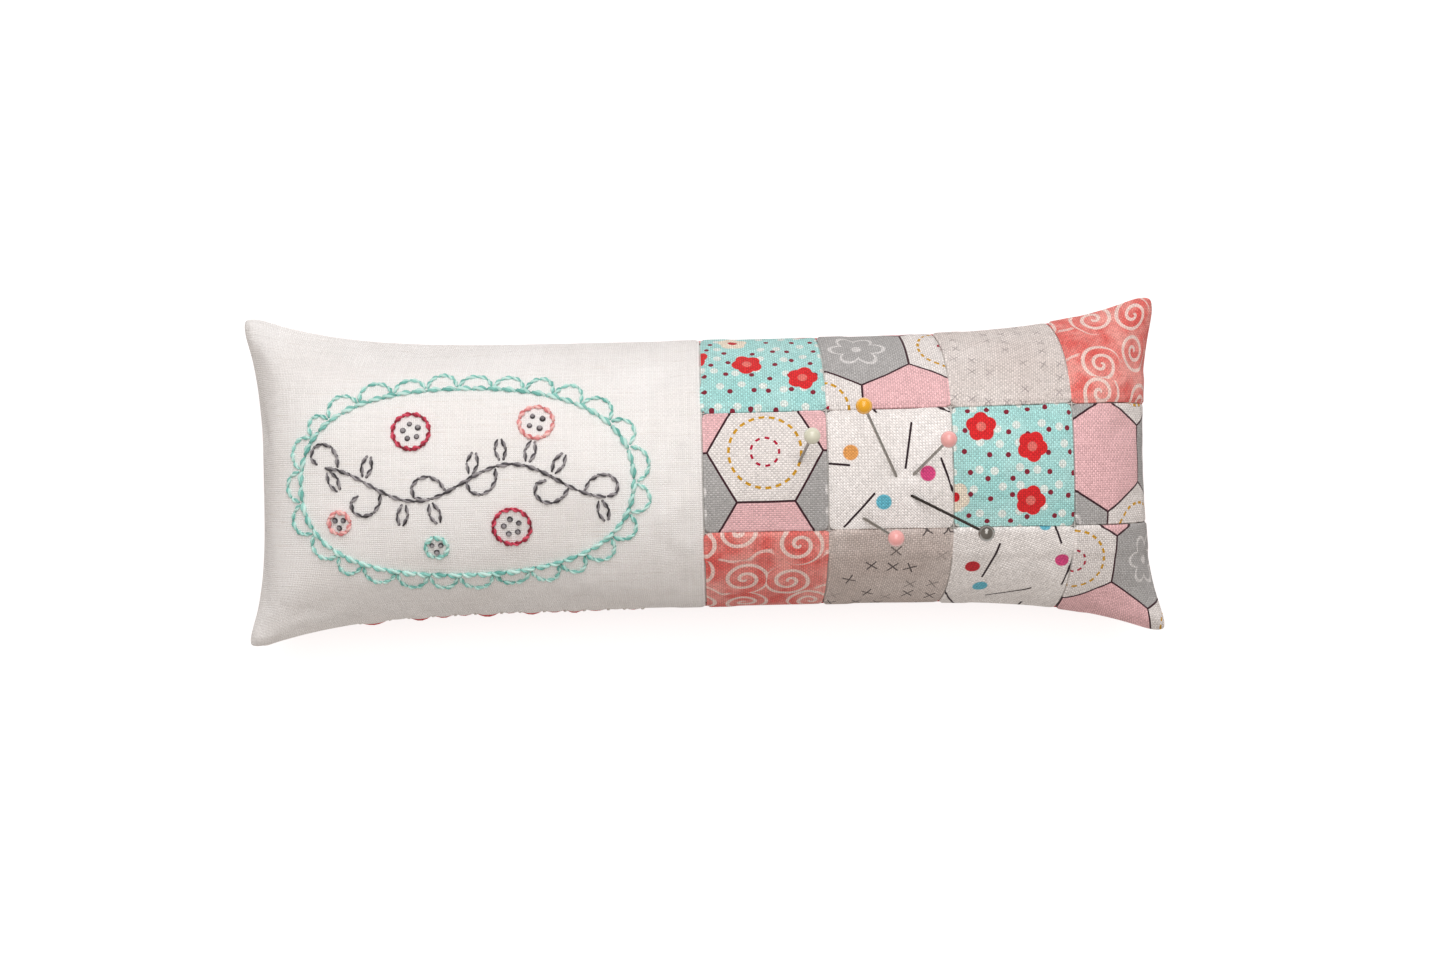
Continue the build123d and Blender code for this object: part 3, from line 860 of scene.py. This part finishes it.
bpy.ops.mesh.primitive_cylinder_add(
    vertices=5, radius=strand_radius, depth=1, end_fill_type="TRIFAN", rotation=(0, math.pi / 2, 0)
)
strand = bpy.context.object
bpy.ops.object.transform_apply(location=True, rotation=True, scale=True)
far_end = [vertex.co.x > 0 for vertex in strand.data.vertices]
pick(strand, "EDGE", lambda edge: far_end[edge.vertices[0]] != far_end[edge.vertices[1]])
bpy.ops.mesh.subdivide(number_cuts=6)
editing(False)
second = copied(strand)
for which, part in enumerate((strand, second)):
    # ply: which strand, 0 or 1; the floss material paints one strand lighter, partly as painted
    # highlight and shade.
    keep(part, "ply", lambda co: which)
    keep(part, "run", lambda co: co.x + 0.5)
    for vertex in part.data.vertices:
        share = vertex.co.x + 0.5
        full = max(math.sin(math.pi * share), 0.02) ** 0.3
        width = end_width + (1 - end_width) * full
        angle = math.pi * (2 * strand_turns * share + which) + 0.6
        out = strand_offset * full
        vertex.co.y = vertex.co.y * width + out * math.cos(angle)
        lie = -draw_down + arch * math.sin(math.pi * share) ** 0.5
        vertex.co.z = vertex.co.z * width + strand_flatness * out * math.sin(angle) + lie
only(strand, second)
bpy.ops.object.join()
bpy.ops.object.shade_smooth()
stitch_model = strand
draws = random.Random(27)


def on_linen(s, t):
    """The place and upward direction on the stuffed linen of a point of the flat design."""
    over = stuffed(oval_centre.x + s, oval_centre.y + t, 1)
    _, place, normal, _ = linen.ray_cast(Vector((over.x, over.y, 0.1)), Vector((0, 0, -1)))
    return place, normal


def stitch_between(a, up_a, b, up_b, wide, high):
    """A stitch from place a to place b, its width and height changed by these shares."""
    along = b - a
    up = (up_a + up_b).normalized()
    across = up.cross(along).normalized()
    up = along.cross(across).normalized()
    made = copied(stitch_model)
    columns = Matrix((along, across * wide, up * high)).transposed().to_4x4()
    made.data.transform(Matrix.Translation((a + b) / 2) @ columns)
    return made


def shade_by_chance(piece):
    """Gives a stitch or knot a shade of its own."""
    value = draws.random()
    keep(piece, "shade", lambda co: value)


def laid_stitch(start, end, width):
    """One stitch from one point of the design to another."""
    ends = [on_linen(*start), on_linen(*end)]
    if draws.random() < 0.5:
        ends.reverse()
    thick = width * draws.uniform(0.92, 1.08)
    made = stitch_between(*ends[0], *ends[1], thick, thick)
    shade_by_chance(made)
    return made


def lengths_along(points):
    """How far along a line each of its points is."""
    run = [0.0]
    for a, b in zip(points, points[1:]):
        run.append(run[-1] + math.dist(a, b))
    return run


def part_way(run, distance):
    """The point of a line that ends the step with this distance in it, and the share of the step."""
    i = next((i for i in range(1, len(run)) if run[i] >= distance - 1e-9), len(run) - 1)
    return i, (distance - run[i - 1]) / (run[i] - run[i - 1])


def along_line(points, stitch, width, gap=-0.00012):
    """Back stitches of nearly equal length along a line of points."""
    run = lengths_along(points)

    def at(distance):
        i, share = part_way(run, min(max(distance, 0), run[-1]))
        return tuple(p + (q - p) * share for p, q in zip(points[i - 1], points[i]))

    count = max(1, round(run[-1] / stitch))
    step = run[-1] / count
    made = []
    for i in range(count):
        slip = draws.uniform(-0.06, 0.06) * step
        made.append(laid_stitch(at(i * step + gap + slip), at((i + 1) * step - gap + slip), width))
    return made


def floss(name, dark, mid, light):
    """Stranded cotton with a soft sheen. Its two strands differ from light to dark, partly as the
    floss's own tone and partly as painted highlight and shade of the twist, and each stitch is painted
    darker towards its ends, where it goes into the cloth.
    """
    finish = Finish(name, roughness=0.45, Sheen_Weight=0.3, Sheen_Roughness=0.35)
    ply, shade, run = (finish.attribute(kept) for kept in ("ply", "shade", "run"))
    hairs = finish.fog(finish.place(), 9000, 2, 0.6)
    patches = finish.fog(finish.place(), 700, 1)
    # ply: one strand lighter and one darker, partly the floss's own tone and partly painted highlight
    # and shade; shade is a tone of each stitch's own.
    tone = ply * 0.4 + shade * 0.3 + patches * 0.3 + hairs * 0.2
    ends = abs(run - 0.5) * 2
    ramp = finish.node("ValToRGB", {"stops": [(0.25, dark), (0.5, mid), (0.85, light)]}, Fac=tone)
    # Painted shade: each stitch darkens towards its ends, where it goes down into the cloth.
    colour = finish.shaded(ramp.outputs[0], 1 - 0.35 * finish.ramp(ends, 0.75, 1.0))
    finish.wear(colour, hairs, 0.00005, 0.38 + 0.2 * hairs)
    return finish.material


flosses = {}
for name, *tones in (
    ("mint_floss", (102, 178, 168), (148, 214, 204), (206, 243, 236)),
    ("grey_floss", (42, 38, 42), (82, 78, 84), (160, 156, 160)),
    ("crimson_floss", (120, 8, 36), (176, 22, 58), (224, 78, 104)),
    ("rose_floss", (214, 118, 120), (240, 160, 160), (254, 206, 202)),
):
    flosses[name] = floss(name, *tones)


def finish_group(name, stitches, node, slot):
    """Joins stitches into one piece that stands for its CAD node."""
    only(*stitches)
    bpy.ops.object.join()
    group = stitches[0]
    group.name = name
    group.data.name = name
    group.data.materials.clear()
    group.data.materials.append(flosses[slot])
    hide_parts(node)
    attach(group, "cushion")


# The oval: a line of long stitches, and 27 scallops round it.
oval_half_length = 0.0347
oval_half_width = 0.0206
oval_squareness = 2.2
scallops = 27
scallop_rise = 0.0040
scallop_stand_off = 0.0006
scallop_gap = 0.0002


def oval_point(angle, stand_off=0.0):
    """A point of the oval at this angle, or this far outside it."""
    c, d = math.cos(angle), math.sin(angle)
    x = (oval_half_length + stand_off) * math.copysign(abs(c) ** (2 / oval_squareness), c)
    y = (oval_half_width + stand_off) * math.copysign(abs(d) ** (2 / oval_squareness), d)
    return x, y


oval_ring = [oval_point(math.pi * i / 180) for i in range(361)]
finish_group("oval_floss", along_line(oval_ring, stitch=0.0031, width=1.75), "oval_thread", "mint_floss")

ring_run = lengths_along(oval_ring)


def oval_angle(distance):
    """The angle of the point this far round the oval."""
    i, share = part_way(ring_run, distance % ring_run[-1])
    return math.pi * (i - 1 + share) / 180


scallop_stitches = []
scallop_run = ring_run[-1] / scallops
joins = [(k + draws.uniform(-0.13, 0.13)) * scallop_run for k in range(scallops)]
joins.append(joins[0] + ring_run[-1])
for join, next_join in zip(joins, joins[1:]):
    start = oval_point(oval_angle(join + scallop_gap), scallop_stand_off)
    end = oval_point(oval_angle(next_join - scallop_gap), scallop_stand_off)
    half_x, half_y = (end[0] - start[0]) / 2, (end[1] - start[1]) / 2
    half = math.hypot(half_x, half_y)
    rise = (scallop_rise - scallop_stand_off) * draws.uniform(0.82, 1.1)
    curve = []
    for i in range(17):
        along = -math.cos(math.pi * i / 16)
        out = math.sin(math.pi * i / 16) * rise / half
        x = start[0] + half_x * (1 + along) + half_y * out
        y = start[1] + half_y * (1 + along) - half_x * out
        curve.append((x, y))
    scallop_stitches += along_line(curve, stitch=0.0023, width=1.3)
finish_group("scallop_floss", scallop_stitches, "scallop_thread", "mint_floss")

# The vine: a waving stem with curls and leaves.
stem_wave = 0.0036
stem_half_length = 0.029
stem_pitch = 0.0387
curl_radius = 0.0029
curl_length = 0.014
curl_stand_off = 0.0004
# Where each curl leaves the stem, in mm, its first heading, and the way it winds.
curls = [(-26, 75, 1), (-17, -80, -1), (-3.5, 105, 1), (6.5, -70, -1), (21.5, -105, -1), (24.5, 80, -1)]


def stem_point(s):
    """The stem's point this far right of the middle."""
    return s, stem_wave * math.sin(2 * math.pi * s / stem_pitch)


stem_line = [stem_point(stem_half_length * i / 30) for i in range(-30, 31)]
stem = along_line(stem_line, stitch=0.0030, width=1.35)
for s, heading, hand in curls:
    angle = math.radians(heading)
    x, y = stem_point(s / 1000)
    x, y = x + curl_stand_off * math.cos(angle), y + curl_stand_off * math.sin(angle)
    points = [(x, y)]
    stride = curl_length / 28
    for i in range(28):
        angle += hand * stride / (curl_radius * (1.7 - 1.2 * i / 28))
        x, y = x + stride * math.cos(angle), y + stride * math.sin(angle)
        points.append((x, y))
    stem += along_line(points, stitch=0.0023, width=1.25)
finish_group("stem_floss", stem, "stem_thread", "grey_floss")

leaf_length = 0.0046
leaf_width = 0.0024
leaf_stand_off = 0.0008
leaf_gap = 0.00035
leaf_places = [-28.5, -20.5, -12, -7, 1.5, 8, 13, 18, 27.5]
leaf_headings = [-60, 75, -100, -70, 80, 95, 75, 60, -75]
leaves = []
for s, heading in zip(leaf_places, leaf_headings):
    c, d = math.cos(math.radians(heading)), math.sin(math.radians(heading))
    x, y = stem_point(s / 1000)
    for hand in (1, -1):
        edge = []
        for i in range(9):
            along = leaf_stand_off + leaf_length * i / 8
            across = hand * (leaf_gap + (leaf_width / 2 - leaf_gap) * math.sin(math.pi * i / 8))
            edge.append((x + along * c - across * d, y + along * d + across * c))
        leaves += along_line(edge, stitch=0.0026, width=1.15)
finish_group("leaf_floss", leaves, "leaf_thread", "grey_floss")

# Blossoms: rings of short stitches round a few French knots. Colour, place, radius, knots.
blossoms = [
    ("crimson", -0.0105, 0.0108, 0.0039, 5),
    ("crimson", 0.0096, -0.0094, 0.0039, 5),
    ("rose", 0.0150, 0.0122, 0.0036, 4),
    ("rose", -0.0260, -0.0076, 0.0025, 3),
    ("mint", -0.0060, -0.0136, 0.0025, 3),
]
rings = {"crimson": [], "rose": [], "mint": []}
for colour, s, t, radius, _ in blossoms:
    ring = []
    for i in range(37):
        angle = math.pi * i / 18
        ring.append((s + radius * math.cos(angle), t + radius * math.sin(angle)))
    rings[colour] += along_line(ring, stitch=0.0021, width=1.5, gap=-0.0001)
for colour, made in rings.items():
    slot = colour + "_floss"
    finish_group(colour + "_blossom_floss", made, colour + "_blossom_thread", slot)

# A French knot is floss wound twice round the needle and drawn down tight on the cloth.
bpy.ops.mesh.primitive_torus_add(
    major_radius=0.00028, minor_radius=0.00020, major_segments=9, minor_segments=5
)
lower_turn = bpy.context.object
opened(lower_turn)
bpy.ops.mesh.duplicate()
bpy.ops.transform.resize(value=(0.72, 0.72, 0.8), center_override=(0, 0, 0))
bpy.ops.transform.rotate(value=0.35, orient_axis="X", center_override=(0, 0, 0))
bpy.ops.transform.translate(value=(0.00006, 0, 0.00026))
editing(False)
bpy.ops.mesh.primitive_uv_sphere_add(segments=6, ring_count=4, radius=0.00022, location=(0, 0, 0.0003))
only(lower_turn, bpy.context.object)
bpy.ops.object.join()
bpy.ops.object.shade_smooth()
# Painted light and shade: the upper turn and the ball on top are given the lighter strand tone, the
# lower turn the darker one.
keep(lower_turn, "ply", lambda co: co.z > 0.0002)
keep(lower_turn, "run", lambda co: 0.5)
knot_lift = 0.00012
knots = []
for _, s, t, radius, count in blossoms:
    for k in range(count):
        angle = 2 * math.pi * k / count + 0.5
        out = 0.42 * radius
        place, up = on_linen(s + out * math.cos(angle), t + out * math.sin(angle))
        made = copied(lower_turn)
        turn = up.to_track_quat("Z", "Y").to_matrix() @ Matrix.Rotation(draws.uniform(0, 6.28), 3, "Z")
        size = draws.uniform(1.15, 1.4)
        place = place + up * knot_lift
        made.data.transform(Matrix.Translation(place) @ turn.to_4x4() @ Matrix.Scale(size, 4))
        shade_by_chance(made)
        knots.append(made)
bpy.data.objects.remove(lower_turn)
finish_group("knot_floss", knots, "knot_thread", "grey_floss")

# ======================= The hand-sewn closing =======================
# The turning gap in the long edge at -Y is closed from outside with small slanting stitches of
# doubled sewing thread, which gather the edge a little.
flosses["white_sewing_thread"] = ply.material
closing_slant = 0.0004
closing_reach = 0.0009
closing = []
for s in closing_places:
    ends = []
    for piece, way in ((back, -1), (linen, 1)):
        over = stuffed(s / 1000 + way * closing_slant, -half_width, 1)
        outside = Vector((over.x, over.y - 0.02, seam_height + way * closing_reach))
        _, place, normal, _ = piece.ray_cast(outside, Vector((0, 1, 0)))
        ends += [place, normal]
    closing.append(stitch_between(*ends, wide=0.6, high=0.8))
finish_group("closing_stitches", closing, "closing_thread", "white_sewing_thread")
bpy.data.objects.remove(stitch_model)

# ======================= Pins =======================
# Drawn steel wires with ground points, and round heads: four of glossy plastic, and the pearl one
# with a metal lustre. The pearl pin's wire is painted dark, a painted reflection.


def wire(name, dark, light):
    """Drawn wire, a little streaked."""
    finish = Finish(name, roughness=0.3, Metallic=1.0)
    drawn = finish.fog(finish.place(), 2500, 3, 0.6)
    finish.wear(finish.blend(drawn, dark, light), drawn, 0.00001, 0.18 + drawn * 0.16)
    return finish.material


def bead(name, dark, light, roughness, coat, metallic=0.0):
    """A moulded ball with a faint swirl in its colour and fine scuffs in its gloss."""
    finish = Finish(name, roughness=roughness, Coat_Weight=coat, Coat_Roughness=0.06, Metallic=metallic)
    swirl = finish.fog(finish.place(), 500, 3)
    scuff = finish.ramp(finish.fog(finish.place(), 3500, 3, 0.7), 0.55, 0.8)
    finish.wear(finish.blend(swirl, dark, light), scuff, 0.000008, roughness + 0.14 * scuff)
    return finish.material


heads = {
    "yellow": bead("yellow_bead", (238, 162, 10), (251, 190, 34), 0.22, 0.6),
    "ivory": bead("ivory_bead", (214, 214, 192), (232, 232, 214), 0.28, 0.5),
    "pink_upper": bead("pink_bead", (240, 160, 158), (250, 188, 184), 0.24, 0.6),
    "pearl": bead("pearl_bead", (92, 90, 86), (150, 147, 141), 0.14, 0.8, 0.85),
}
heads["pink_lower"] = heads["pink_upper"]
steel = wire("steel_wire", (104, 100, 97), (190, 186, 180))
# Painted reflection: the pearl pin's wire is coloured near black for the dark reflection it shows.
steel_painted_dark = wire("steel_wire_painted_dark", (44, 40, 38), (84, 79, 75))
for name, material in heads.items():
    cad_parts["pin_head_" + name].material_slots[0].material = material
    metal = steel_painted_dark if name == "pearl" else steel
    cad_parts["pin_wire_" + name].material_slots[0].material = metal

# ======================= Table, light and camera =======================
# A plain pale table under soft light from beyond the long side at +Y, seen from straight above.
bpy.ops.mesh.primitive_plane_add(size=6)
table = bpy.context.object
table.name = "table"
surface = Finish("pale_table", roughness=0.8)
surface.shader.inputs["Base Color"].default_value = (0.5, 0.5, 0.5, 1)
# It looks white to the camera and in reflections, but lights the cushion as a grey table would.
glow = surface.node("Emission", Color=(255, 255, 255), Strength=0.76)
path = surface.node("LightPath").outputs
rays = (Value(surface, path[kind]) for kind in ("Is Camera Ray", "Is Glossy Ray"))
seen = surface.maths("MAXIMUM", *rays)
none = surface.node("Emission", Color=(0, 0, 0), Strength=0.0)
chosen = surface.node("MixShader", Fac=seen, n1=none.outputs[0], n2=glow.outputs[0])
both = surface.node("AddShader", n0=surface.shader.outputs[0], n1=chosen.outputs[0])
surface.tree.links.new(both.outputs[0], surface.tree.nodes["Material Output"].inputs["Surface"])
table.data.materials.append(surface.material)

world = bpy.data.worlds.new("soft_room")
bpy.context.scene.world = world
world.use_nodes = True
background = world.node_tree.nodes["Background"].inputs
background["Color"].default_value = (1.0, 0.90, 0.82, 1)
background["Strength"].default_value = 0.50


def lamp(name, place, power):
    """A round soft light of cool daylight, 1 m across, that faces the cushion."""
    light = bpy.data.lights.new(name, "AREA")
    light.shape = "DISK"
    light.size = 1.0
    light.energy = power
    light.color = (0.98, 0.985, 1)
    made = linked(name, light)
    made.location = place
    towards = Vector((0, 0, 0.02)) - Vector(place)
    made.rotation_euler = towards.to_track_quat("-Z", "Y").to_euler()


lamp("window", (0.05, 0.85, 0.95), 7.2)
lamp("overhead", (-0.05, 0.25, 1.6), 5.8)

camera = bpy.data.cameras.new("camera")
camera.lens = 145
camera.sensor_width = 36
camera.clip_start = 0.01
eye = linked("camera", camera)
eye.location = (0.00397, -0.00174, 1.2191)
eye.rotation_euler = (0, 0, math.radians(-1.4))
bpy.context.scene.camera = eye
bpy.context.scene.view_settings.view_transform = "Standard"
